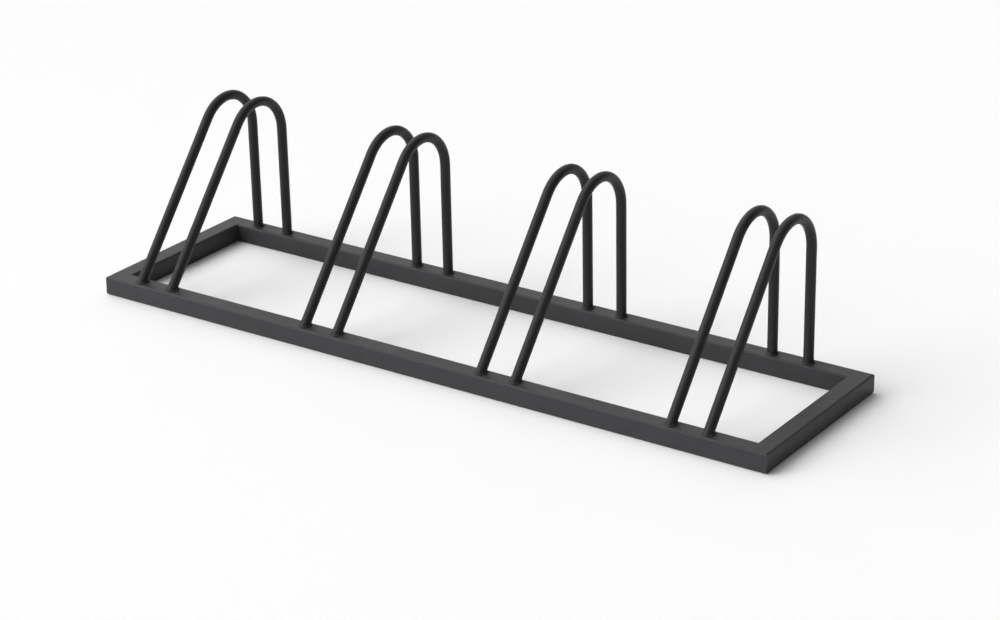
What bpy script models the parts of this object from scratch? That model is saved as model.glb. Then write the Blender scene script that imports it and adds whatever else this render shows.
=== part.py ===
"""Floor-standing bike rack: a mitred frame of square tube with four pairs of bent round-tube hoops.

Metres, +Z up. The origin is on the floor, under the middle of the frame. +X runs along the rack to its
right end and +Y runs to the rear. A wheel stands in the slot between the two hoops of a pair.
"""
import math

import bmesh
import bpy
from mathutils import Vector

# Wheel slots: each is the clear space between the two hoops of a pair
WHEEL_SLOT_COUNT = 4
WHEEL_SLOT_WIDTH = 0.056
WHEEL_SLOT_PITCH = 0.406
FIRST_SLOT_FROM_LEFT_END = 0.117
LAST_SLOT_FROM_RIGHT_END = 0.165

# Base frame, whose length follows from the slots
FRAME_DEPTH = 0.410
RAIL_HEIGHT = 0.038
RAIL_WIDTH = 0.038
RAIL_WALL = 0.002
RAIL_CORNER_RADIUS = 0.004
RAIL_BORE_CORNER_RADIUS = 0.002

# Hoops: the bend radius is to the tube's centre line, and the rear leg leans in by its set-in at the bend
RACK_HEIGHT = 0.356
HOOP_TUBE_DIAMETER = 0.020
HOOP_TUBE_WALL = 0.002
HOOP_BEND_RADIUS = 0.080
REAR_LEG_SET_IN = 0.006

# Foot welds
WELD_BEAD_RADIUS = 0.0026
WELD_RIPPLE = 0.05
WELD_RIPPLES_ROUND = 11

# Gap left between pieces that touch
CLEARANCE = 0.0003

# Powder coat on each kind of piece: its colour and its roughness
RAIL_COAT = ((0.047, 0.050, 0.053), 0.42)
HOOP_COAT = ((0.040, 0.043, 0.046), 0.40)
WELD_COAT = ((0.036, 0.038, 0.041), 0.48)

# Facets
BEND_SEGMENTS = 14
TUBE_BEVEL_RESOLUTION = 8
BORE_BEVEL_RESOLUTION = 5
CORNER_SEGMENTS = 3
WELD_SEGMENTS_ACROSS = 8
LEG_CUTTER_SIDES = 20
SHARP_EDGE_ANGLE = math.radians(40.0)
MERGE_DISTANCE = 0.00001

# Worked out from the driving dimensions
SLOTS_SPAN = (WHEEL_SLOT_COUNT - 1) * WHEEL_SLOT_PITCH
FRAME_LENGTH = FIRST_SLOT_FROM_LEFT_END + SLOTS_SPAN + LAST_SLOT_FROM_RIGHT_END
TUBE_RADIUS = HOOP_TUBE_DIAMETER / 2
BORE_RADIUS = TUBE_RADIUS - HOOP_TUBE_WALL
FOOT_Y = (FRAME_DEPTH - RAIL_WIDTH) / 2
FOOT_Z = RAIL_HEIGHT + CLEARANCE
HOOP_SPACING = WHEEL_SLOT_WIDTH + HOOP_TUBE_DIAMETER
BEND_CENTRE_Y = FOOT_Y - HOOP_BEND_RADIUS - REAR_LEG_SET_IN
BEND_CENTRE_Z = RACK_HEIGHT - TUBE_RADIUS - HOOP_BEND_RADIUS

# Sides along the rack's depth
FRONT = -1
REAR = 1

# Length of leg that runs past the rail's top face before the feet are cut flat
LEG_RUN_OUT = 3 * HOOP_TUBE_DIAMETER

# Side of the blocks that take the waste off the mitres
MITRE_BLOCK_SIDE = 4 * max(RAIL_WIDTH, RAIL_HEIGHT)


def remove_everything():
    """Empty the scene before building."""
    for obj in list(bpy.data.objects):
        bpy.data.objects.remove(obj, do_unlink=True)
    for collection in list(bpy.data.collections):
        bpy.data.collections.remove(collection)


def make_collection(name):
    """Return a new collection linked to the scene."""
    collection = bpy.data.collections.new(name)
    bpy.context.scene.collection.children.link(collection)
    return collection


def make_coat(name, coat):
    """Return a powder-coat material; its metallic value stays at zero."""
    colour, roughness = coat
    material = bpy.data.materials.new(name)
    material.use_nodes = True
    shader = material.node_tree.nodes["Principled BSDF"]
    shader.inputs["Base Color"].default_value = (*colour, 1.0)
    shader.inputs["Roughness"].default_value = roughness
    shader.inputs["Metallic"].default_value = 0.0
    material.diffuse_color = (*colour, 1.0)
    return material


def add_object(name, mesh, collection, material=None):
    """Link a new object that shows the mesh."""
    obj = bpy.data.objects.new(name, mesh)
    collection.objects.link(obj)
    if material is not None and not mesh.materials:
        mesh.materials.append(material)
    return obj


def hide_cutter(obj):
    """Mark an object as a cutter, which isn't a piece of the rack."""
    obj.hide_render = True
    obj.display_type = "WIRE"
    return obj


def make_box(name, size, collection, material=None):
    """Return a box of the given size, centred on its origin."""
    mesh = bpy.data.meshes.new(name)
    bm = bmesh.new()
    bmesh.ops.create_cube(bm, size=1.0)
    bmesh.ops.scale(bm, vec=size, verts=bm.verts)
    bm.to_mesh(mesh)
    bm.free()
    return add_object(name, mesh, collection, material)


def round_long_edges(obj, radius):
    """Round the four edges of a box that run along its X axis; its ends stay square."""
    weights = obj.data.attributes.new("bevel_weight_edge", "FLOAT", "EDGE")
    for edge in obj.data.edges:
        start, end = (obj.data.vertices[index].co for index in edge.vertices)
        weights.data[edge.index].value = 1.0 if start.x * end.x < 0.0 else 0.0
    bevel = obj.modifiers.new("Rounded corners", "BEVEL")
    bevel.width = radius
    bevel.segments = CORNER_SEGMENTS
    bevel.limit_method = "WEIGHT"


def cut_with(obj, cutter):
    """Take the cutter's volume out of the object."""
    cut = obj.modifiers.new("Cut by " + cutter.name, "BOOLEAN")
    cut.operation = "DIFFERENCE"
    cut.object = cutter
    cut.solver = "EXACT"


def evaluated_mesh(obj, name):
    """Return a closed copy of the object's evaluated mesh, with loose caps welded on."""
    depsgraph = bpy.context.evaluated_depsgraph_get()
    mesh = bpy.data.meshes.new_from_object(obj.evaluated_get(depsgraph))
    mesh.name = name
    bm = bmesh.new()
    bm.from_mesh(mesh)
    bmesh.ops.remove_doubles(bm, verts=bm.verts, dist=MERGE_DISTANCE)
    bmesh.ops.recalc_face_normals(bm, faces=bm.faces)
    bm.to_mesh(mesh)
    bm.free()
    return mesh


def shade_round(mesh):
    """Shade a mesh smooth, with sharp edges where it turns a corner."""
    mesh.shade_smooth()
    mesh.set_sharp_from_angle(angle=SHARP_EDGE_ANGLE)


def finished_mesh(obj, name, material):
    """Return the mesh that the object's cuts leave, with its finish on."""
    bpy.context.view_layer.update()
    mesh = evaluated_mesh(obj, name)
    mesh.materials.clear()
    mesh.materials.append(material)
    shade_round(mesh)
    return mesh


# Base frame

def mitre_cutter(name, side_x, side_y, along_x, collection):
    """Return the block that takes the waste off one rail end at 45 degrees.

    side_x and side_y are the signs of the frame corner, and along_x says whether the rail runs along X.
    """
    waste = Vector((side_x, -side_y, 0.0)).normalized()
    if not along_x:
        waste = -waste
    corner = Vector((side_x * FRAME_LENGTH / 2, side_y * FRAME_DEPTH / 2, RAIL_HEIGHT / 2))
    cutter = hide_cutter(make_box(name, (MITRE_BLOCK_SIDE,) * 3, collection))
    cutter.rotation_euler.z = math.radians(45.0)
    cutter.location = corner + waste * (MITRE_BLOCK_SIDE - CLEARANCE) / 2
    return cutter


def make_rail(name, along_x, side, parts, cutters, material):
    """Make one rail: a rounded square tube, hollow from end to end and mitred at both ends."""
    finished_length = FRAME_LENGTH if along_x else FRAME_DEPTH
    blank_length = finished_length + 2 * RAIL_WIDTH
    blank_size = (blank_length, RAIL_WIDTH, RAIL_HEIGHT)
    bore_size = (blank_length + RAIL_WIDTH, RAIL_WIDTH - 2 * RAIL_WALL, RAIL_HEIGHT - 2 * RAIL_WALL)
    outer_span = FRAME_DEPTH if along_x else FRAME_LENGTH
    offset = side * (outer_span - RAIL_WIDTH) / 2
    location = (0.0, offset, RAIL_HEIGHT / 2) if along_x else (offset, 0.0, RAIL_HEIGHT / 2)
    turn = 0.0 if along_x else math.radians(90.0)

    rail = make_box(name, blank_size, parts, material)
    bore = hide_cutter(make_box(name + "_bore", bore_size, cutters))
    for obj in (rail, bore):
        obj.location = location
        obj.rotation_euler.z = turn
    round_long_edges(rail, RAIL_CORNER_RADIUS)
    round_long_edges(bore, RAIL_BORE_CORNER_RADIUS)
    cut_with(rail, bore)
    for end in (-1, 1):
        side_x, side_y = (end, side) if along_x else (side, end)
        end_name = name + ("_mitre_a" if end < 0 else "_mitre_b")
        cut_with(rail, mitre_cutter(end_name, side_x, side_y, along_x, cutters))
    shade_round(rail.data)
    return rail


# Hoops

def leg_slope(side):
    """Return the angle between the floor and a leg, which runs from its foot straight into the bend."""
    across = FOOT_Y - side * BEND_CENTRE_Y
    up = BEND_CENTRE_Z - FOOT_Z
    return math.atan2(up, across) + math.asin(HOOP_BEND_RADIUS / math.hypot(across, up))


def leg_end(side, run_out):
    """Return a point on a leg's centre line, run_out below the foot."""
    slope = leg_slope(side)
    up_the_leg = Vector((0.0, -side * math.cos(slope), math.sin(slope)))
    return Vector((0.0, side * FOOT_Y, FOOT_Z)) - up_the_leg * run_out


def hoop_path(run_out):
    """Return the hoop's centre line in the YZ plane, with both legs run on past their feet by run_out."""
    first_angle = math.radians(90.0) + leg_slope(FRONT)
    last_angle = math.radians(90.0) - leg_slope(REAR)
    points = [leg_end(FRONT, run_out)]
    for step in range(BEND_SEGMENTS + 1):
        angle = first_angle + (last_angle - first_angle) * step / BEND_SEGMENTS
        points.append(Vector((
            0.0,
            BEND_CENTRE_Y + HOOP_BEND_RADIUS * math.cos(angle),
            BEND_CENTRE_Z + HOOP_BEND_RADIUS * math.sin(angle),
        )))
    points.append(leg_end(REAR, run_out))
    return points


def swept_rod(name, points, radius, bevel_resolution, collection):
    """Return a mesh object of a round rod swept along the points."""
    curve = bpy.data.curves.new(name, "CURVE")
    curve.dimensions = "3D"
    curve.bevel_depth = radius
    curve.bevel_resolution = bevel_resolution
    curve.use_fill_caps = True
    spline = curve.splines.new("POLY")
    spline.points.add(len(points) - 1)
    for spline_point, point in zip(spline.points, points):
        spline_point.co = (*point, 1.0)
    curve_object = add_object(name + "_curve", curve, collection)
    mesh = evaluated_mesh(curve_object, name)
    rod = hide_cutter(add_object(name, mesh, collection))
    rod.matrix_world = curve_object.matrix_world.copy()
    bpy.data.objects.remove(curve_object, do_unlink=True)
    return rod


def floor_cutter(name, collection):
    """Return the block that cuts the hoops' feet flat, just above the rails' top faces."""
    size = Vector((2 * LEG_RUN_OUT, 2 * FRAME_DEPTH, 4 * LEG_RUN_OUT))
    block = hide_cutter(make_box(name, size, collection))
    block.location = (0.0, 0.0, FOOT_Z - size.z / 2)
    return block


def make_hoop_mesh(cutters, material):
    """Return the mesh that all hoops share: a bent tube, open at both feet, with its feet cut flat."""
    rod = swept_rod("hoop_rod", hoop_path(LEG_RUN_OUT), TUBE_RADIUS, TUBE_BEVEL_RESOLUTION, cutters)
    bore_path = hoop_path(LEG_RUN_OUT + HOOP_TUBE_DIAMETER)
    bore = swept_rod("hoop_bore", bore_path, BORE_RADIUS, BORE_BEVEL_RESOLUTION, cutters)
    cut_with(rod, bore)
    cut_with(rod, floor_cutter("hoop_floor", cutters))
    return finished_mesh(rod, "hoop", material)


# Foot welds

def leg_cutter(name, side, collection):
    """Return a round bar that clears a hoop's leg all round, lying along that leg."""
    mesh = bpy.data.meshes.new(name)
    bm = bmesh.new()
    radius = (TUBE_RADIUS + CLEARANCE) / math.cos(math.pi / LEG_CUTTER_SIDES)
    bmesh.ops.create_cone(
        bm, cap_ends=True, segments=LEG_CUTTER_SIDES, radius1=radius, radius2=radius, depth=2 * LEG_RUN_OUT,
    )
    bm.to_mesh(mesh)
    bm.free()
    bar = hide_cutter(add_object(name, mesh, collection))
    bar.location = (0.0, side * FOOT_Y, FOOT_Z)
    bar.rotation_euler.x = side * (math.radians(90.0) - leg_slope(side))
    return bar


def weld_ring(name, side, collection):
    """Return the raw bead: a rippled ring laid round the footprint that the leg leaves on its rail."""
    around = 2 * WELD_RIPPLES_ROUND
    bpy.ops.mesh.primitive_torus_add(
        major_segments=around, minor_segments=WELD_SEGMENTS_ACROSS,
        major_radius=TUBE_RADIUS, minor_radius=WELD_BEAD_RADIUS,
    )
    ring = bpy.context.active_object
    ring.name = name
    for owner in list(ring.users_collection):
        owner.objects.unlink(ring)
    collection.objects.link(ring)
    footprint_y = TUBE_RADIUS / math.sin(leg_slope(side))
    for vertex in ring.data.vertices:
        heading = Vector((vertex.co.x, vertex.co.y, 0.0)).normalized()
        turn = round(math.atan2(heading.y, heading.x) * around / (2 * math.pi))
        swell = 1 + WELD_RIPPLE * (-1) ** turn
        across_bead = (vertex.co - heading * TUBE_RADIUS) * swell
        vertex.co = Vector((heading.x * TUBE_RADIUS, heading.y * footprint_y, 0.0)) + across_bead
    ring.location = (0.0, side * FOOT_Y, RAIL_HEIGHT)
    return hide_cutter(ring)


def rail_cutter(name, side, collection):
    """Return a stretch of the rail's own outline that clears the rail all round, rounded edges included."""
    size = (2 * LEG_RUN_OUT, RAIL_WIDTH + 2 * CLEARANCE, RAIL_HEIGHT + 2 * CLEARANCE)
    block = hide_cutter(make_box(name, size, collection))
    block.location = (0.0, side * FOOT_Y, RAIL_HEIGHT / 2)
    round_long_edges(block, RAIL_CORNER_RADIUS + CLEARANCE)
    return block


def make_weld_mesh(name, side, cutters, material):
    """Return the mesh that all front or all rear welds share, fitted to the leg and to the rail below it."""
    bead = weld_ring(name + "_ring", side, cutters)
    cut_with(bead, leg_cutter(name + "_leg", side, cutters))
    cut_with(bead, rail_cutter(name + "_rail", side, cutters))
    return finished_mesh(bead, name, material)


# The rack

def hoop_positions():
    """Return each hoop's name and its place along the rack."""
    places = []
    for slot in range(WHEEL_SLOT_COUNT):
        centre = -FRAME_LENGTH / 2 + FIRST_SLOT_FROM_LEFT_END + slot * WHEEL_SLOT_PITCH
        for side_name, side in (("left", -1), ("right", 1)):
            places.append((f"{slot + 1}_{side_name}", centre + side * HOOP_SPACING / 2))
    return places


def build_frame(parts, cutters):
    """Make the four rails of the base frame."""
    coat = make_coat("rail_powder_coat", RAIL_COAT)
    make_rail("front_rail", True, -1, parts, cutters, coat)
    make_rail("rear_rail", True, 1, parts, cutters, coat)
    make_rail("left_end_rail", False, -1, parts, cutters, coat)
    make_rail("right_end_rail", False, 1, parts, cutters, coat)


def build_hoops(parts, cutters):
    """Make the hoops and the welds round their feet."""
    hoop_coat = make_coat("hoop_powder_coat", HOOP_COAT)
    weld_coat = make_coat("weld_powder_coat", WELD_COAT)
    hoop_mesh = make_hoop_mesh(cutters, hoop_coat)
    weld_meshes = {
        FRONT: make_weld_mesh("front_weld", FRONT, cutters, weld_coat),
        REAR: make_weld_mesh("rear_weld", REAR, cutters, weld_coat),
    }
    for label, x in hoop_positions():
        hoop = add_object("hoop_" + label, hoop_mesh, parts)
        hoop.location.x = x
        for side, end_name in ((FRONT, "front"), (REAR, "rear")):
            weld = add_object(f"weld_{label}_{end_name}", weld_meshes[side], parts)
            weld.location = (x, side * FOOT_Y, RAIL_HEIGHT)


def build():
    """Build the whole rack."""
    remove_everything()
    parts = make_collection("bike_rack")
    cutters = make_collection("cutters")
    build_frame(parts, cutters)
    build_hoops(parts, cutters)
    bpy.context.view_layer.update()


build()
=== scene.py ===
"""Looks of a floor-standing bike rack: powder-coated steel tube, bent and welded, on a white floor.

Metres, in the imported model's own frame: +X runs along the rack to its right end, +Y to its rear, +Z up.
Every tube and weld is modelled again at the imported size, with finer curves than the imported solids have,
and stands for the solid of the same place.
"""
import logging
import math
from dataclasses import dataclass, field
from enum import Enum
from typing import Sequence

import bmesh
import bpy
from mathutils import Matrix, Vector, noise


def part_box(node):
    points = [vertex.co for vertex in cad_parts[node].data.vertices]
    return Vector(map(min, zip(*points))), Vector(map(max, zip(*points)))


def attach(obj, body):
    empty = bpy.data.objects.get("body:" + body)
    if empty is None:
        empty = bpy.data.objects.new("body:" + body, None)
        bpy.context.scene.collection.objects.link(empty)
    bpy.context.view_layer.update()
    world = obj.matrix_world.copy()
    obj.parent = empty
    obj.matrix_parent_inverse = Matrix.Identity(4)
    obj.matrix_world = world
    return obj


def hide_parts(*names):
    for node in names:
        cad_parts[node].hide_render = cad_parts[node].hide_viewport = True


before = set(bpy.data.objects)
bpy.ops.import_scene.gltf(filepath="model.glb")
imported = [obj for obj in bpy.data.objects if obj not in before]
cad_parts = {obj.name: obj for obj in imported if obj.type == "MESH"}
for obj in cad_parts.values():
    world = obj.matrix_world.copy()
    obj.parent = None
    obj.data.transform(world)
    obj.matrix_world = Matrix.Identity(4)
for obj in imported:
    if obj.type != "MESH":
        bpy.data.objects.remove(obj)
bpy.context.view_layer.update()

LOG = logging.getLogger("bike_rack")
BODY = "root"
MM = 0.001
Span = tuple[float, float]
Colour = tuple[float, float, float]
Ring = list[Vector]


class Slot(Enum):
    """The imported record's material slots."""

    RAIL = "rail_coat"
    HOOP = "hoop_coat"
    WELD = "weld_coat"


class Side(Enum):
    """The two sides of the rack along its depth, as signs of Y."""

    FRONT = -1
    REAR = 1


class PairSide(Enum):
    """The two hoops of a pair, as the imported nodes' names say them."""

    LEFT = "left"
    RIGHT = "right"


class BeadEdge(Enum):
    """The two long edges of a weld bead, as the numbers of their noises."""

    TOE = 0
    CREST = 1


# Shared helpers


def direction(azimuth_deg: float, elevation_deg: float) -> Vector:
    """Return a unit direction seen from the rack.

    Args:
        azimuth_deg: The turn from the rack's right end (0) over its rear (90) to its left end (180).
        elevation_deg: The rise above the floor.

    Returns:
        The direction.
    """
    azimuth, elevation = math.radians(azimuth_deg), math.radians(elevation_deg)
    level = math.cos(elevation)
    return Vector((math.cos(azimuth) * level, math.sin(azimuth) * level, math.sin(elevation)))


def opaque(colour: Colour, factor: float = 1.0) -> tuple[float, ...]:
    """Return a colour times a factor, as a shader's colour socket takes it."""
    return (*(part * factor for part in colour), 1.0)


def add_object(name: str, data: bpy.types.ID) -> bpy.types.Object:
    """Add an object to the scene.

    Args:
        name: The object's name.
        data: Its mesh, lamp or camera.

    Returns:
        The new object.
    """
    made = bpy.data.objects.new(name, data)
    bpy.context.scene.collection.objects.link(made)
    return made


# Shader graphs


class Graph:
    """Places and links the nodes of one shader tree, left to right."""

    STEP = 190.0
    # The Mix node gives its sockets the same names for every kind of data, so its colours go by number.
    MIX_INPUTS = (0, 6, 7)
    MIX_OUTPUT = 2

    def __init__(self, tree: bpy.types.NodeTree) -> None:
        """Take hold of a tree.

        Args:
            tree: The node tree of a material, a world or a group.
        """
        self.tree = tree
        self.column = 0

    def feed(self, socket: bpy.types.NodeSocket, value: object) -> None:
        """Link an output to a socket, or set the socket's own value.

        Args:
            socket: The input socket.
            value: An output socket, or a constant.
        """
        if isinstance(value, bpy.types.NodeSocket):
            self.tree.links.new(value, socket)
        else:
            socket.default_value = value

    def node(
        self, kind: str, inputs: dict[str, object] | None = None, **options: object,
    ) -> bpy.types.Node:
        """Add a node.

        Args:
            kind: Blender's name of the node type.
            inputs: What feeds its input sockets, by the sockets' names.
            options: The node's own settings.

        Returns:
            The new node.
        """
        node = self.tree.nodes.new(kind)
        node.location = (self.column * self.STEP, 0.0)
        self.column += 1
        for name, value in options.items():
            setattr(node, name, value)
        for name, value in (inputs or {}).items():
            self.feed(node.inputs[name], value)
        return node

    def maths(self, operation: str, *values: object) -> bpy.types.NodeSocket:
        """Add a Math node and return its output.

        Args:
            operation: Blender's name of the operation.
            values: Its operands, as outputs or constants.

        Returns:
            The result's socket.
        """
        node = self.node("ShaderNodeMath", operation=operation)
        for socket, value in zip(node.inputs, values):
            self.feed(socket, value)
        return node.outputs[0]

    def rest(self, share: object) -> bpy.types.NodeSocket:
        """Return what a share leaves of one."""
        return self.maths("SUBTRACT", 1.0, share)

    def remap(self, value: object, old: Span, new: Span = (0.0, 1.0)) -> bpy.types.NodeSocket:
        """Map a value smoothly from one range to another and return the output.

        Args:
            value: The value to map.
            old: The range that it comes from.
            new: The range that it goes to.

        Returns:
            The mapped value's socket.
        """
        node = self.node("ShaderNodeMapRange", interpolation_type="SMOOTHSTEP")
        for socket, item in zip(node.inputs, (value, *old, *new)):
            self.feed(socket, item)
        return node.outputs["Result"]

    def cloud(self, place: object, scale: object, detail: float) -> bpy.types.NodeSocket:
        """Add noise and return its value.

        Args:
            place: Where it is read.
            scale: How many lumps it has to a metre.
            detail: How many finer layers it has.

        Returns:
            The noise's socket.
        """
        node = self.node("ShaderNodeTexNoise", {"Vector": place, "Scale": scale, "Detail": detail})
        return node.outputs[0]

    def split(self, vector: object) -> bpy.types.NodeOutputs:
        """Return the X, Y and Z outputs of a vector."""
        return self.node("ShaderNodeSeparateXYZ", {"Vector": vector}).outputs

    def blend(self, share: object, first: object, second: object) -> bpy.types.NodeSocket:
        """Mix two colours and return the output.

        Args:
            share: How much of the second colour shows.
            first: The first colour.
            second: The second colour.

        Returns:
            The mixed colour's socket.
        """
        node = self.node("ShaderNodeMix", data_type="RGBA")
        for number, value in zip(self.MIX_INPUTS, (share, first, second)):
            self.feed(node.inputs[number], value)
        return node.outputs[self.MIX_OUTPUT]

    def group(self, tree: bpy.types.NodeTree, **inputs: object) -> bpy.types.NodeOutputs:
        """Place a node group.

        Args:
            tree: The group.
            inputs: What feeds it, by the sockets' names with underscores for spaces.

        Returns:
            The group's outputs.
        """
        node = self.node("ShaderNodeGroup", node_tree=tree)
        for name, value in inputs.items():
            self.feed(node.inputs[name.replace("_", " ")], value)
        return node.outputs


def new_group(
    name: str, values: Sequence[str], results: Sequence[str],
) -> tuple[Graph, bpy.types.NodeOutputs, bpy.types.NodeInputs]:
    """Make an empty shader node group that takes a place on the rack and some values.

    Args:
        name: The group's name.
        values: The names of the inputs that follow the place.
        results: The names of the outputs.

    Returns:
        The group's graph, what it is given, and the sockets that take its results.
    """
    tree = bpy.data.node_groups.new(name, "ShaderNodeTree")
    tree.interface.new_socket("Place", in_out="INPUT", socket_type="NodeSocketVector")
    for in_out, names in (("INPUT", values), ("OUTPUT", results)):
        for socket_name in names:
            tree.interface.new_socket(socket_name, in_out=in_out, socket_type="NodeSocketFloat")
    graph = Graph(tree)
    return graph, graph.node("NodeGroupInput").outputs, graph.node("NodeGroupOutput").inputs


@dataclass
class CoatEffects:
    """The shader groups that all the rack's coats share. A scale is in lumps to a metre."""

    peel_detail: float = 1.0
    grain_detail: float = 2.0
    mottle_size: float = 0.045
    mottle_detail: float = 3.0
    edge_samples: int = 4
    edge_agreement: Span = (0.99, 0.80)
    edge_patch_scale: float = 60.0
    edge_patch_detail: float = 3.0
    edge_patch_range: Span = (0.35, 0.65)
    level_range: Span = (0.75, 1.0)
    dust_patch_scale: float = 14.0
    dust_patch_detail: float = 4.0
    dust_patch_range: Span = (0.3, 0.7)
    dust_patch_share: Span = (0.35, 1.0)
    seam_fade: Span = (0.5, 0.2)
    skin: bpy.types.NodeTree = field(init=False)
    rubbed: bpy.types.NodeTree = field(init=False)
    dust: bpy.types.NodeTree = field(init=False)
    seam: bpy.types.NodeTree = field(init=False)

    def __post_init__(self) -> None:
        """Build each group once."""
        self.skin = self.build_skin()
        self.rubbed = self.build_rubbed()
        self.dust = self.build_dust()
        self.seam = self.build_seam()

    def build_skin(self) -> bpy.types.NodeTree:
        """Build the coat's skin: broad orange peel with a fine sandy grain on it.

        Returns:
            A group that gives the skin's height and a slow mottle, both from 0 to 1.
        """
        graph, given, result = new_group(
            "coat_skin", ("Peel Size", "Grain Size", "Grain Share"), ("Height", "Mottle"))

        def lumps(size: object, detail: float) -> bpy.types.NodeSocket:
            """Return noise whose lumps have the given size."""
            return graph.cloud(given["Place"], graph.maths("DIVIDE", 1.0, size), detail)

        peel = lumps(given["Peel Size"], self.peel_detail)
        grain = lumps(given["Grain Size"], self.grain_detail)
        fine = graph.maths("MULTIPLY", grain, given["Grain Share"])
        broad = graph.maths("MULTIPLY", peel, graph.rest(given["Grain Share"]))
        graph.feed(result["Height"], graph.maths("ADD", fine, broad))
        graph.feed(result["Mottle"], lumps(self.mottle_size, self.mottle_detail))
        return graph.tree

    def build_rubbed(self) -> bpy.types.NodeTree:
        """Build the mask of edges where the coat is thin and rubbed smooth.

        Returns:
            A group whose mask is highest on sharp edges and fades over the radius.
        """
        graph, given, result = new_group("rubbed_edges", ("Radius", "Broken Up"), ("Mask",))
        rounded = graph.node("ShaderNodeBevel", {"Radius": given["Radius"]}, samples=self.edge_samples)
        agree = graph.node("ShaderNodeVectorMath", operation="DOT_PRODUCT")
        graph.feed(agree.inputs[0], rounded.outputs["Normal"])
        graph.feed(agree.inputs[1], graph.node("ShaderNodeNewGeometry").outputs["Normal"])
        edge = graph.remap(agree.outputs["Value"], self.edge_agreement)
        patches = graph.cloud(given["Place"], self.edge_patch_scale, self.edge_patch_detail)
        bare = graph.rest(graph.remap(patches, self.edge_patch_range))
        lost = graph.maths("MULTIPLY", given["Broken Up"], bare)
        graph.feed(result["Mask"], graph.maths("MULTIPLY", edge, graph.rest(lost)))
        return graph.tree

    def build_dust(self) -> bpy.types.NodeTree:
        """Build the mask of dust that settles on what faces up and gathers near the floor.

        Returns:
            A group whose mask is strongest low down and on level faces.
        """
        graph, given, result = new_group("settled_dust", ("Reach", "Level Share"), ("Mask",))
        height = graph.split(given["Place"])["Z"]
        low = graph.rest(graph.maths("DIVIDE", height, given["Reach"]))
        low = graph.maths("MAXIMUM", low, 0.0)
        facing = graph.split(graph.node("ShaderNodeNewGeometry").outputs["Normal"])["Z"]
        level = graph.remap(facing, self.level_range)
        level = graph.maths("MULTIPLY", level, given["Level Share"])
        patches = graph.cloud(given["Place"], self.dust_patch_scale, self.dust_patch_detail)
        patchy = graph.remap(patches, self.dust_patch_range, self.dust_patch_share)
        settled = graph.maths("MAXIMUM", low, level)
        graph.feed(result["Mask"], graph.maths("MULTIPLY", settled, patchy))
        return graph.tree

    def build_seam(self) -> bpy.types.NodeTree:
        """Build the mask of the corner welds, dressed flush along the mitres.

        Returns:
            A group whose mask is 1 on the mitre and fades out at half the band.
        """
        graph, given, result = new_group("dressed_seam", ("Half Length", "Half Depth", "Band"), ("Mask",))
        place = graph.split(given["Place"])

        def from_edge(half: str, axis: str) -> bpy.types.NodeSocket:
            """Return the distance in from the frame's outer edge along one axis."""
            return graph.maths("SUBTRACT", given[half], graph.maths("ABSOLUTE", place[axis]))

        off_mitre = graph.maths("SUBTRACT", from_edge("Half Length", "X"), from_edge("Half Depth", "Y"))
        share = graph.maths("DIVIDE", graph.maths("ABSOLUTE", off_mitre), given["Band"])
        graph.feed(result["Mask"], graph.remap(share, self.seam_fade))
        return graph.tree


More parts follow.
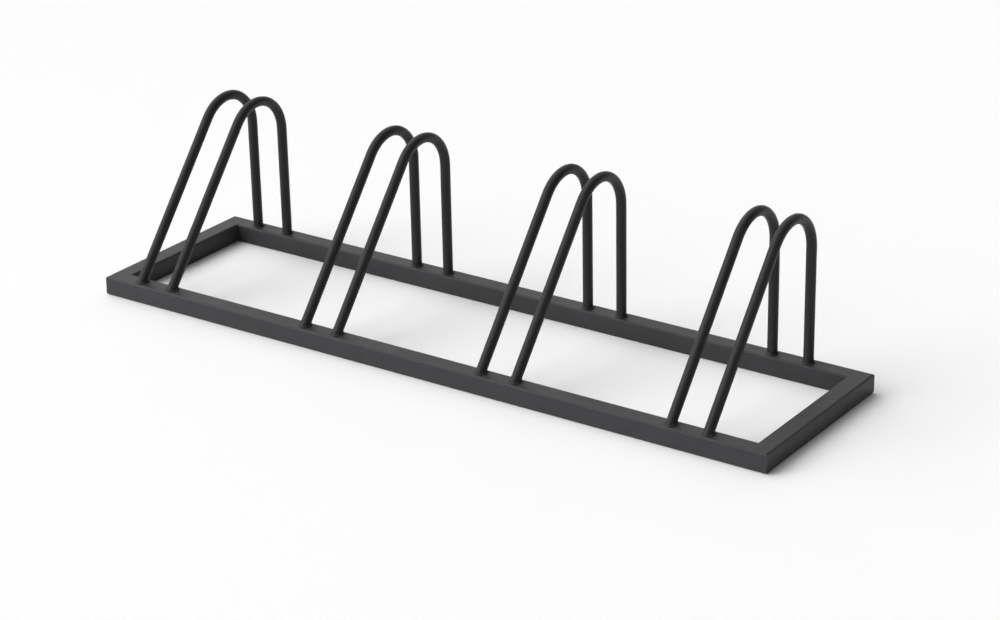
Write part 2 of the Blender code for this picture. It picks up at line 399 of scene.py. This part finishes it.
@dataclass(frozen=True)
class PowderCoat:
    """A satin powder coat on steel, in metres and linear colour."""

    name: str
    colour: Colour
    roughness: float
    peel_depth: float
    seam_depth: float = 0.0
    seam_band: float = 0.006
    specular_level: float = 0.15
    peel_size: float = 0.0032
    grain_size: float = 0.0007
    grain_share: float = 0.45
    mottle: float = 0.15
    mottle_range: Span = (0.3, 0.7)
    roughness_swing: float = 0.03
    edge_radius: float = 0.0014
    edge_broken_up: float = 0.5
    edge_share: float = 0.25
    edge_lift: float = 1.5
    edge_smoothing: float = 0.08
    dust_colour: Colour = (0.22, 0.21, 0.195)
    dust_reach: float = 0.02
    dust_level_share: float = 0.45
    dust_share: float = 0.035
    dust_roughening: float = 0.12

    def material(self, effects: CoatEffects, half_length: float, half_depth: float) -> bpy.types.Material:
        """Build the coat.

        Args:
            effects: The shared shader groups.
            half_length: Half the frame's length, which places the mitres.
            half_depth: Half the frame's depth, which places the mitres.

        Returns:
            The material.
        """
        material = bpy.data.materials.new(self.name)
        material.use_nodes = True
        graph = Graph(material.node_tree)
        place = graph.node("ShaderNodeTexCoord").outputs["Object"]
        skin = graph.group(effects.skin, Place=place, Peel_Size=self.peel_size,
                           Grain_Size=self.grain_size, Grain_Share=self.grain_share)
        rubbed = graph.group(effects.rubbed, Place=place, Radius=self.edge_radius,
                             Broken_Up=self.edge_broken_up)["Mask"]
        dust = graph.group(effects.dust, Place=place, Reach=self.dust_reach,
                           Level_Share=self.dust_level_share)["Mask"]

        relief = graph.node("ShaderNodeBump", {"Height": skin["Height"], "Distance": self.peel_depth,
                                               "Strength": 1.0})
        if self.seam_depth:
            seam = graph.group(effects.seam, Place=place, Half_Length=half_length,
                               Half_Depth=half_depth, Band=self.seam_band)
            relief = graph.node("ShaderNodeBump", {"Height": seam["Mask"], "Distance": self.seam_depth,
                                                   "Strength": 1.0, "Normal": relief.outputs[0]})

        inputs = material.node_tree.nodes["Principled BSDF"].inputs
        graph.feed(inputs["Base Color"], self.base_colour(graph, skin["Mottle"], rubbed, dust))
        graph.feed(inputs["Roughness"], self.sheen(graph, skin["Mottle"], rubbed, dust))
        graph.feed(inputs["Normal"], relief.outputs[0])
        inputs["Metallic"].default_value = 0.0
        inputs["Specular IOR Level"].default_value = self.specular_level
        return material

    def base_colour(
        self, graph: Graph, mottle: bpy.types.NodeSocket, rubbed: bpy.types.NodeSocket,
        dust: bpy.types.NodeSocket,
    ) -> bpy.types.NodeSocket:
        """Build the coat's colour: mottled, paler where it is rubbed, and dusty.

        Args:
            graph: The material's graph.
            mottle: The slow mottle.
            rubbed: The mask of rubbed edges.
            dust: The mask of dust.

        Returns:
            The colour's socket.
        """
        dark, pale = opaque(self.colour, 1.0 - self.mottle), opaque(self.colour, 1.0 + self.mottle)
        colour = graph.blend(mottle, dark, pale)
        worn = opaque(self.colour, self.edge_lift)
        colour = graph.blend(graph.maths("MULTIPLY", rubbed, self.edge_share), colour, worn)
        dusty = graph.maths("MULTIPLY", dust, self.dust_share)
        return graph.blend(dusty, colour, opaque(self.dust_colour))

    def sheen(
        self, graph: Graph, mottle: bpy.types.NodeSocket, rubbed: bpy.types.NodeSocket,
        dust: bpy.types.NodeSocket,
    ) -> bpy.types.NodeSocket:
        """Build the coat's roughness: uneven, smoother where it is rubbed, and duller under dust.

        Args:
            graph: The material's graph.
            mottle: The slow mottle.
            rubbed: The mask of rubbed edges.
            dust: The mask of dust.

        Returns:
            The roughness's socket.
        """
        swing = (self.roughness - self.roughness_swing, self.roughness + self.roughness_swing)
        rough = graph.remap(mottle, self.mottle_range, swing)
        rough = graph.maths("SUBTRACT", rough, graph.maths("MULTIPLY", rubbed, self.edge_smoothing))
        return graph.maths("ADD", rough, graph.maths("MULTIPLY", dust, self.dust_roughening))


# Meshes


def mesh_from_rings(name: str, rings: Sequence[Ring], sharp_angle: float) -> bpy.types.Mesh:
    """Skin a closed run of rings, the last of which joins the first.

    Args:
        name: The mesh's name.
        rings: Rings of points, each with as many points as the others.
        sharp_angle: The turn, in degrees, past which an edge is shaded sharp.

    Returns:
        A closed mesh whose faces point out.
    """
    bm = bmesh.new()
    rows = [[bm.verts.new(point) for point in ring] for ring in rings]
    for here, there in zip(rows, rows[1:] + rows[:1]):
        for index, vertex in enumerate(here):
            follow = (index + 1) % len(here)
            bm.faces.new((vertex, here[follow], there[follow], there[index]))
    bmesh.ops.recalc_face_normals(bm, faces=bm.faces)
    mesh = bpy.data.meshes.new(name)
    bm.to_mesh(mesh)
    bm.free()
    mesh.shade_smooth()
    mesh.set_sharp_from_angle(angle=math.radians(sharp_angle))
    return mesh


def add_piece(
    name: str, mesh: bpy.types.Mesh, coat: bpy.types.Material, node: str,
) -> bpy.types.Object:
    """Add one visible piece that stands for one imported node.

    Args:
        name: The piece's name.
        mesh: Its mesh, in the frame's own coordinates.
        coat: Its finish.
        node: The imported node.

    Returns:
        The new object.
    """
    mesh.materials.append(coat)
    piece = add_object(name, mesh)
    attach(piece, BODY)
    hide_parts(node)
    LOG.info("%s stands for %s: %d faces", name, node, len(mesh.polygons))
    return piece


# The base frame


@dataclass
class BaseFrame:
    """The floor frame: four square tubes, mitred and welded into a rectangle."""

    corner_radius: float = 4.0 * MM
    wall: float = 2.0 * MM
    bore_radius: float = 2.0 * MM
    corner_steps: int = 8
    edge_support: float = 0.5 * MM
    mitre_gap: float = 0.03 * MM
    sharp_angle: float = 40.0
    length: float = field(init=False)
    depth: float = field(init=False)
    height: float = field(init=False)
    width: float = field(init=False)

    def __post_init__(self) -> None:
        """Read the frame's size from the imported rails."""
        left_low, left_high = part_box("left_end_rail")
        self.width = left_high.x - left_low.x
        self.height = left_high.z
        self.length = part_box("right_end_rail")[1].x - left_low.x
        self.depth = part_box("rear_rail")[1].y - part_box("front_rail")[0].y

    @property
    def rail_y(self) -> float:
        """Distance of the long rails' centre lines from the rack's middle."""
        return (self.depth - self.width) / 2

    def outline(self, inset: float, radius: float) -> list[tuple[float, float]]:
        """Return a rounded rectangle across the rail, as points of reach from its outer face and height.

        Args:
            inset: How far the outline lies inside the rail's faces.
            radius: Its corner radius.

        Returns:
            The outline's points, in order, with one on each straight close to every corner.
        """
        near = inset + radius
        far_reach, far_level = self.width - near, self.height - near
        corners = ((near, near, 180.0), (far_reach, near, 270.0),
                   (far_reach, far_level, 0.0), (near, far_level, 90.0))

        def on_straight(point: tuple[float, float], turn: float, way: int) -> tuple[float, float]:
            """Return a point a little way from an arc's end, along the straight that meets it."""
            step = way * self.edge_support
            return point[0] - step * math.sin(turn), point[1] + step * math.cos(turn)

        points: list[tuple[float, float]] = []
        for reach, level, start in corners:
            turns = [math.radians(start + 90.0 * step / self.corner_steps)
                     for step in range(self.corner_steps + 1)]
            arc = [(reach + radius * math.cos(turn), level + radius * math.sin(turn)) for turn in turns]
            points.append(on_straight(arc[0], turns[0], -1))
            points.extend(arc)
            points.append(on_straight(arc[-1], turns[-1], 1))
        return points

    def rail_mesh(self, name: str, along_x: bool, side: int) -> bpy.types.Mesh:
        """Return one rail as a hollow tube with mitred ends.

        Args:
            name: The mesh's name.
            along_x: Whether the rail runs along X.
            side: The sign of the side of the frame that it lies on.

        Returns:
            The rail's mesh.
        """
        run, span = (self.length, self.depth) if along_x else (self.depth, self.length)

        def ring(points: Sequence[tuple[float, float]], end: int) -> Ring:
            """Return the outline's points on the mitre at one end."""
            placed = []
            for reach, level in points:
                along = end * (run / 2 - reach - self.mitre_gap)
                across = side * (span / 2 - reach)
                placed.append(Vector((along, across, level) if along_x else (across, along, level)))
            return placed

        outer = self.outline(0.0, self.corner_radius)
        inner = self.outline(self.wall, self.bore_radius)
        rings = [ring(outer, -1), ring(outer, 1), ring(inner, 1), ring(inner, -1)]
        return mesh_from_rings(name, rings, self.sharp_angle)

    def build(self, coat: bpy.types.Material) -> None:
        """Add the four rails.

        Args:
            coat: The rails' finish.
        """
        for node, along_x, side in (
            ("front_rail", True, -1), ("rear_rail", True, 1),
            ("left_end_rail", False, -1), ("right_end_rail", False, 1),
        ):
            name = node + "_tube"
            add_piece(name, self.rail_mesh(name, along_x, side), coat, node)


# The hoops


@dataclass
class Hoop:
    """One bent round tube, which stands on both long rails."""

    x: float
    rail_y: float
    foot_z: float
    top_z: float
    radius: float
    wall: float = 2.0 * MM
    bend_radius: float = 80.0 * MM
    rear_set_in: float = 6.0 * MM
    bend_steps: int = 64
    sides: int = 48
    flattening: float = 0.018
    flattening_rise: float = 6.0
    sharp_angle: float = 40.0

    @property
    def bend_centre(self) -> Vector:
        """Centre of the bend, in the hoop's own plane."""
        return Vector((self.x, self.rail_y - self.bend_radius - self.rear_set_in,
                       self.top_z - self.radius - self.bend_radius))

    def slope(self, side: Side) -> float:
        """Return the angle between the floor and one leg.

        Args:
            side: The leg's side.

        Returns:
            The angle in radians.
        """
        across = self.rail_y - side.value * self.bend_centre.y
        up = self.bend_centre.z - self.foot_z
        return math.atan2(up, across) + math.asin(self.bend_radius / math.hypot(across, up))

    def foot(self, side: Side) -> Vector:
        """Return the middle of one foot."""
        return Vector((self.x, side.value * self.rail_y, self.foot_z))

    def up_leg(self, side: Side) -> Vector:
        """Return the direction from one foot up its leg."""
        slope = self.slope(side)
        return Vector((0.0, -side.value * math.cos(slope), math.sin(slope)))

    def section(self, centre: Vector, along: Vector, radius: float, squeeze: float) -> Ring:
        """Return a ring across the tube.

        Args:
            centre: The ring's centre.
            along: The tube's direction there.
            radius: The ring's radius.
            squeeze: The share by which the bend has flattened the tube in its own plane.

        Returns:
            The ring's points.
        """
        sideways = Vector((1.0, 0.0, 0.0))
        outward = along.cross(sideways)
        ring = []
        for step in range(self.sides):
            angle = 2 * math.pi * step / self.sides
            ring.append(centre + sideways * (radius * (1 + squeeze / 2) * math.cos(angle))
                        + outward * (radius * (1 - squeeze) * math.sin(angle)))
        return ring

    def foot_ring(self, side: Side, radius: float) -> Ring:
        """Return the ring where one foot is cut flat, parallel to the rail.

        Args:
            side: The foot's side.
            radius: The ring's radius across the tube.

        Returns:
            The ring's points, all at the foot's height.
        """
        up = self.up_leg(side)
        along = up if side is Side.FRONT else -up
        ring = self.section(self.foot(side), along, radius, 0.0)
        return [point - up * ((point.z - self.foot_z) / up.z) for point in ring]

    def rings(self, radius: float) -> list[Ring]:
        """Return the rings from the front foot, over the bend, to the rear foot.

        Args:
            radius: The rings' radius.

        Returns:
            The rings, in order.
        """
        centre = self.bend_centre
        first = math.radians(90.0) + self.slope(Side.FRONT)
        last = math.radians(90.0) - self.slope(Side.REAR)
        rings = [self.foot_ring(Side.FRONT, radius)]
        for step in range(self.bend_steps + 1):
            share = step / self.bend_steps
            angle = first + (last - first) * share
            outward = Vector((0.0, math.cos(angle), math.sin(angle)))
            along = Vector((0.0, math.sin(angle), -math.cos(angle)))
            squeeze = self.flattening * min(1.0, self.flattening_rise * min(share, 1.0 - share))
            reach = self.bend_radius + squeeze * self.radius
            rings.append(self.section(centre + outward * reach, along, radius, squeeze))
        rings.append(self.foot_ring(Side.REAR, radius))
        return rings

    def mesh(self, name: str) -> bpy.types.Mesh:
        """Return the hoop as a hollow tube, open at its feet."""
        rings = self.rings(self.radius) + self.rings(self.radius - self.wall)[::-1]
        return mesh_from_rings(name, rings, self.sharp_angle)


# The foot welds


@dataclass(frozen=True)
class RootPoint:
    """One point of the line where a hoop's tube meets the rail's top face, and the directions there."""

    corner: Vector
    outward: Vector
    tube_normal: Vector
    up_tube: Vector


@dataclass
class FootWeld:
    """A fillet weld laid round one hoop foot in overlapping ripples."""

    hoop: Hoop
    side: Side
    base: BaseFrame
    seed: int
    rail_reach: float = 3.1 * MM
    tube_reach: float = 2.9 * MM
    tight_growth: float = 0.35
    bulge: float = 0.30
    wander: float = 0.13
    wander_turn: float = 1.6
    wander_gain: float = 1.6
    ripple_pitch: float = 1.9 * MM
    ripple_depth: float = 0.16 * MM
    ripple_lag: float = 0.55
    ripple_roundness: float = 0.8
    ripple_middle: float = 0.6
    ripple_fade: float = 0.6
    sink: float = 0.12 * MM
    edge_margin: float = 0.7 * MM
    seed_step: float = 7.3
    edge_step: float = 2.1
    start_step: float = 3.7
    start_place: Span = (0.4, 1.9)
    steps_per_ripple: int = 8
    steps_across: int = 12
    sharp_angle: float = 75.0

    @property
    def long_half(self) -> float:
        """Half the length of the footprint that the leaning tube leaves on the rail."""
        return self.hoop.radius / self.hoop.up_leg(self.side).z

    def rail_drop(self, y: float) -> float:
        """Return how far the rail's rounded edge lies below its top face at a place across it.

        Args:
            y: The place, in the rack's own coordinates.

        Returns:
            The drop.
        """
        radius = self.base.corner_radius
        past = abs(y - self.side.value * self.base.rail_y) - (self.base.width / 2 - radius)
        if past <= 0:
            return 0.0
        return radius - math.sqrt(max(radius ** 2 - past ** 2, 0.0))

    def stretch(self, heading: float, edge: BeadEdge) -> float:
        """Return how far one edge of the bead wanders, as a factor that closes on itself round the foot.

        Args:
            heading: The angle round the foot.
            edge: The bead's edge.

        Returns:
            The factor on the edge's reach, near 1.
        """
        place = Vector((self.wander_turn * math.cos(heading), self.wander_turn * math.sin(heading),
                        self.seed_step * self.seed + self.edge_step * edge.value))
        return 1 + self.wander * (self.wander_gain * noise.noise(place))

    def root(self, heading: float) -> RootPoint:
        """Return the point of the weld's root at one heading round the foot.

        Args:
            heading: The angle round the foot.

        Returns:
            The point, with its directions out over the rail, off the tube and up the tube.
        """
        up = self.hoop.up_leg(self.side)
        radius = self.hoop.radius
        centre = self.hoop.foot(self.side) - up * ((self.hoop.foot_z - self.base.height) / up.z)
        across, along = math.cos(heading), math.sin(heading)
        corner = centre + Vector((radius * across, self.long_half * along, 0.0))
        outward = Vector((across / radius, along / self.long_half, 0.0)).normalized()
        off_axis = corner - centre
        normal = (off_axis - up * off_axis.dot(up)).normalized()
        up_tube = Vector((0.0, 0.0, 1.0)) * normal.dot(outward) - outward * normal.z
        return RootPoint(corner, outward, normal, up_tube.normalized())

    def edges(self, root: RootPoint, heading: float) -> tuple[Vector, Vector]:
        """Return the bead's two edges, which reach further where the tube leans close to the rail.

        Args:
            root: The point of the weld's root.
            heading: The angle round the foot.

        Returns:
            The toe, on the rail, and the crest, on the tube.
        """
        opening = math.acos(max(-1.0, min(1.0, root.outward.dot(root.up_tube))))
        tight = 1.0 + self.tight_growth * max(0.0, math.cos(opening))
        rail_reach = self.rail_reach * tight * self.stretch(heading, BeadEdge.TOE)
        tube_reach = self.tube_reach * tight * self.stretch(heading, BeadEdge.CREST)
        toe = root.corner + root.outward * rail_reach
        crest = root.corner + root.up_tube * tube_reach
        rail_middle = self.side.value * self.base.rail_y
        toe_limit = self.base.width / 2 - self.edge_margin
        toe.y = rail_middle + max(-toe_limit, min(toe_limit, toe.y - rail_middle))
        toe.z -= self.rail_drop(toe.y)
        return toe, crest

    def section(self, heading: float, phase: float) -> Ring:
        """Return the closed section of the bead at one heading round the foot.

        Args:
            heading: The angle round the foot.
            phase: How many ripples have been laid up to there.

        Returns:
            The section's points.
        """
        root = self.root(heading)
        toe, crest = self.edges(root, heading)
        chord = crest - toe
        away = chord.cross(root.outward.cross(root.up_tube)).normalized()
        if away.dot(root.outward + root.up_tube) < 0:
            away.negate()
        control = (toe + crest) / 2 + away * (self.bulge * chord.length)

        surface = []
        for step in range(self.steps_across + 1):
            share = step / self.steps_across
            arch = 4 * share * (1 - share)
            point = toe * (1 - share) ** 2 + control * (2 * share * (1 - share)) + crest * share ** 2
            turn = phase + self.ripple_lag * (1 - arch)
            ripple = abs(math.sin(math.pi * turn)) ** self.ripple_roundness - self.ripple_middle
            surface.append(point + away * (self.ripple_depth * ripple * arch ** self.ripple_fade))
        below = Vector((0.0, 0.0, -self.sink))
        into_tube = root.tube_normal * -self.sink
        under_toe = toe + below - root.outward * self.sink
        return surface + [crest + into_tube, root.corner + below + into_tube, under_toe]

    def mesh(self, name: str) -> bpy.types.Mesh:
        """Return the bead, closed on its hidden side against the tube and the rail.

        Args:
            name: The mesh's name.

        Returns:
            The bead's mesh.
        """
        girth = math.pi * (self.hoop.radius + self.long_half)
        steps = round(girth / self.ripple_pitch) * self.steps_per_ripple
        chance = noise.noise(Vector((self.start_step * self.seed, *self.start_place)))
        start = 2 * math.pi * (0.5 + 0.5 * chance)
        rings = [self.section(start + 2 * math.pi * step / steps, step / self.steps_per_ripple)
                 for step in range(steps)]
        return mesh_from_rings(name, rings, self.sharp_angle)


@dataclass
class WheelStand:
    """The four pairs of hoops with their foot welds."""

    base: BaseFrame
    hoop_coat: bpy.types.Material
    weld_coat: bpy.types.Material
    pairs: int = 4

    def build(self) -> None:
        """Add every hoop and the welds round its two feet."""
        labels = [f"{pair}_{place.value}" for pair in range(1, self.pairs + 1) for place in PairSide]
        for number, label in enumerate(labels, start=1):
            self.build_hoop(label, number)

    def build_hoop(self, label: str, number: int) -> None:
        """Add one hoop at its packed place, with its two welds.

        Args:
            label: The pair's number and the hoop's side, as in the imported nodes' names.
            number: The hoop's number along the rack, which tells its welds' noises apart.
        """
        node = "hoop_" + label
        low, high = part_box(node)
        hoop = Hoop(x=(low.x + high.x) / 2, rail_y=self.base.rail_y, foot_z=low.z, top_z=high.z,
                    radius=(high.x - low.x) / 2)
        name = f"bent_tube_{label}"
        add_piece(name, hoop.mesh(name), self.hoop_coat, node)
        for seed, side in enumerate(Side, start=2 * number):
            end = side.name.lower()
            bead = FootWeld(hoop=hoop, side=side, base=self.base, seed=seed)
            bead_name = f"foot_bead_{label}_{end}"
            add_piece(bead_name, bead.mesh(bead_name), self.weld_coat, f"weld_{label}_{end}")


# The studio


@dataclass(frozen=True)
class SkyPanel:
    """One wide soft lamp, far off. Its level is what a white card that faces it shows, 1 being white."""

    name: str
    azimuth_deg: float
    elevation_deg: float
    level: float
    spread_deg: float = 45.0

    def build(self) -> None:
        """Add the lamp. A lamp of this kind shows a white card at its strength over pi."""
        data = bpy.data.lights.new(self.name, "SUN")
        data.angle = math.radians(self.spread_deg)
        data.energy = self.level * math.pi
        lamp = add_object(self.name, data)
        towards = direction(self.azimuth_deg, self.elevation_deg)
        lamp.rotation_euler = towards.to_track_quat("Z", "Y").to_euler()


@dataclass(frozen=True)
class Softbox:
    """One soft lamp near the rack. Its level is what a white card at its aim that faces it shows."""

    name: str
    place: tuple[float, float, float]
    aim: tuple[float, float, float]
    size: Span
    level: float

    def build(self) -> None:
        """Add the lamp, turned towards its aim.

        Its power P lights a card at the distance d by P / (pi d^2), and the card shows that over pi.
        """
        ray = Vector(self.aim) - Vector(self.place)
        data = bpy.data.lights.new(self.name, "AREA")
        data.shape = "RECTANGLE"
        data.size, data.size_y = self.size
        data.energy = self.level * math.pi * math.pi * ray.length ** 2
        lamp = add_object(self.name, data)
        lamp.location = self.place
        lamp.rotation_euler = ray.to_track_quat("-Z", "Y").to_euler()
        lamp.visible_camera = False


@dataclass(frozen=True)
class PhotoCamera:
    """The photograph's camera, fitted to the rack's corners, feet and bends in its 1000 by 620 frame."""

    location: tuple[float, float, float] = (2.8186, -4.1119, 2.1546)
    azimuth_deg: float = -56.143
    elevation_deg: float = 22.740
    roll_deg: float = -0.287
    focal_px: float = 2826.3
    frame_width_px: float = 1000.0
    sensor_width: float = 36.0
    clip_end: float = 200.0

    def build(self) -> None:
        """Add the camera and make it the scene's own. Its angles say which way it looks from."""
        back = direction(self.azimuth_deg, self.elevation_deg)
        right = Vector((0.0, 0.0, 1.0)).cross(back).normalized()
        level = Matrix((right, back.cross(right), back)).transposed()
        turn = level @ Matrix.Rotation(math.radians(self.roll_deg), 3, "Z")
        data = bpy.data.cameras.new("photo_camera")
        data.sensor_width = self.sensor_width
        data.lens = self.focal_px / self.frame_width_px * self.sensor_width
        data.clip_end = self.clip_end
        camera = add_object("photo_camera", data)
        camera.matrix_world = Matrix.Translation(self.location) @ turn.to_4x4()
        bpy.context.scene.camera = camera


@dataclass(frozen=True)
class Studio:
    """A white floor, soft lamps and the light of the room."""

    floor_colour: Colour = (0.97, 0.97, 0.97)
    floor_radius: float = 90.0
    floor_sides: int = 96
    floor_drop: float = 0.05 * MM
    room_colour: Colour = (1.0, 1.0, 1.0)
    room_level: float = 0.04
    horizon_level: float = 1.0
    horizon_height: Span = (0.13, 0.08)
    panels: tuple[SkyPanel, ...] = (
        SkyPanel("front_left_panel", 225.0, 35.0, 0.51),
        SkyPanel("front_left_low_panel", 225.0, 12.0, 0.10),
        SkyPanel("left_panel", 180.0, 35.0, 0.18),
        SkyPanel("left_high_panel", 180.0, 62.0, 0.285),
        SkyPanel("rear_left_panel", 135.0, 35.0, 0.21),
        SkyPanel("rear_panel", 90.0, 35.0, 0.10),
        SkyPanel("front_high_panel", 270.0, 62.0, 0.12),
    )
    strip: Softbox = Softbox("low_strip", (-2.3, -2.0, 0.22), (-0.4, -0.1, 0.06), (2.0, 0.35), 0.20)

    def build(self) -> None:
        """Build the floor, the room's light and the lamps."""
        self.build_floor()
        self.build_room()
        for lamp in (*self.panels, self.strip):
            lamp.build()
            LOG.info("%s is lit at level %.3f", lamp.name, lamp.level)

    def build_floor(self) -> None:
        """Lay a wide level floor of plain matt white."""
        bm = bmesh.new()
        bmesh.ops.create_circle(bm, cap_ends=True, radius=self.floor_radius, segments=self.floor_sides)
        mesh = bpy.data.meshes.new("studio_floor")
        bm.to_mesh(mesh)
        bm.free()
        floor = add_object("studio_floor", mesh)
        floor.location.z = -self.floor_drop
        material = bpy.data.materials.new("studio_floor")
        material.use_nodes = True
        material.node_tree.nodes.clear()
        graph = Graph(material.node_tree)
        matt = graph.node("ShaderNodeBsdfDiffuse", {"Color": opaque(self.floor_colour)})
        graph.node("ShaderNodeOutputMaterial", {"Surface": matt.outputs[0]})
        mesh.materials.append(material)

    def build_room(self) -> None:
        """Light the room dimly from all round, with a white band along the horizon."""
        world = bpy.data.worlds.new("studio_room")
        world.use_nodes = True
        world.node_tree.nodes.clear()
        graph = Graph(world.node_tree)
        height = graph.split(graph.node("ShaderNodeTexCoord").outputs["Generated"])["Z"]
        level = graph.remap(height, self.horizon_height, (self.room_level, self.horizon_level))
        light = graph.node("ShaderNodeBackground", {"Color": opaque(self.room_colour), "Strength": level})
        graph.node("ShaderNodeOutputWorld", {"Surface": light.outputs[0]})
        bpy.context.scene.world = world


RAIL_FINISH = PowderCoat("rail_powder_coat", (0.0440, 0.0447, 0.0472), 0.40, 0.00026, seam_depth=0.00006)
# The hoops' coat is the rails' powder coat darkened to three fifths of its colour: painted shade that
# stands for the hoops' darker shading, not a colour of their own.
HOOP_PAINTED_SHADE_FINISH = PowderCoat("hoop_powder_coat", (0.0265, 0.0269, 0.0283), 0.40, 0.00024)
WELD_FINISH = PowderCoat("weld_powder_coat", (0.0298, 0.0302, 0.0316), 0.44, 0.00012)


def main() -> None:
    """Dress the rack and set the studio round it."""
    logging.basicConfig(level=logging.INFO, format="%(name)s: %(message)s")
    bpy.context.scene.view_settings.view_transform = "Standard"
    PhotoCamera().build()
    base = BaseFrame()
    effects = CoatEffects()

    def coat(finish: PowderCoat) -> bpy.types.Material:
        """Return the finish's material."""
        return finish.material(effects, base.length / 2, base.depth / 2)

    base.build(coat(RAIL_FINISH))
    WheelStand(base, coat(HOOP_PAINTED_SHADE_FINISH), coat(WELD_FINISH)).build()
    Studio().build()


if __name__ == "__main__":
    main()
